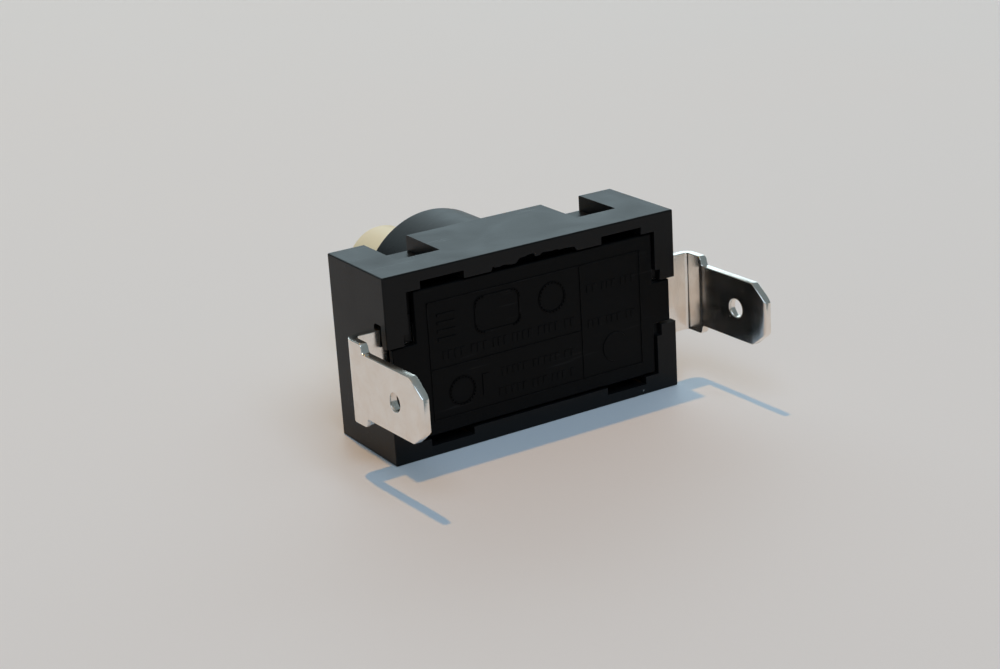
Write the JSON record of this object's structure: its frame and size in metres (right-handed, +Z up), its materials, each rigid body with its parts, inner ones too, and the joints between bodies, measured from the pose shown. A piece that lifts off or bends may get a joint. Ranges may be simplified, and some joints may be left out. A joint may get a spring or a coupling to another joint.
{
  "type": "push button switch",
  "caption": "Latching push-button mains switch: black block with a round guide collar, pale round plunger, snap-in rear cover and two bent blade terminals.",
  "frame": {"origin": "on the face the switch lies on, under the middle of its whole length and width", "axes": "+Y along the plunger, out of the collar; -Y out of the rear cover, the way the blades point; +X to the right seen from the rear; +Z up, across the short side of the rear face"},
  "size_m": [0.0394, 0.0428, 0.0185],
  "materials": {
    "housing_black": "satin moulded thermoplastic, fine spark-eroded grain",
    "cover_black": "matt moulded thermoplastic",
    "tinned_brass": "tin-plated brass strip, satin",
    "contact_silver": "silver alloy contact face",
    "bridge_copper": "copper strip",
    "spring_steel": "drawn spring steel",
    "carrier_white": "natural acetal",
    "plunger_cream": "cream moulded thermoplastic"
  },
  "bodies": {
    "switch_body": {"housing": "housing_black", "rear_cover": "cover_black", "terminal_left": "tinned_brass", "terminal_right": "tinned_brass", "fixed_contact_left": "contact_silver", "fixed_contact_right": "contact_silver", "return_spring": "spring_steel", "latch_leaf_spring": "spring_steel"},
    "plunger_slide": {"plunger": "plunger_cream", "cam_carrier": "carrier_white", "bridge_clip": "spring_steel", "contact_spring": "spring_steel"},
    "bridge": {"contact_bridge": "bridge_copper", "moving_contact_left": "contact_silver", "moving_contact_right": "contact_silver"},
    "latch": {"latch_pin": "spring_steel"}
  },
  "joints": [
    {"name": "plunger_press", "type": "slide", "parent": "switch_body", "child": "plunger_slide", "axis": [0, -1, 0], "range_m": [0, 0.0035], "stiffness_N_per_m": 850, "springref_m": -0.0024, "deforming": ["return_spring"]},
    {"name": "bridge_stop", "type": "slide", "parent": "plunger_slide", "child": "bridge", "axis": [0, 1, 0], "range_m": [0, 0.0014], "deforming": ["contact_spring"]},
    {"name": "latch_swing", "type": "hinge", "parent": "switch_body", "child": "latch", "pos_m": [0, -0.0067, 0.0146], "axis": [0, 0, 1], "range_deg": [0, 9.5]}
  ],
  "couplings": [
    {"joint": "bridge_stop", "follows": "plunger_press", "ratio": 0.4},
    {"joint": "latch_swing", "follows": "plunger_press", "rad_per_m": 47}
  ]
}
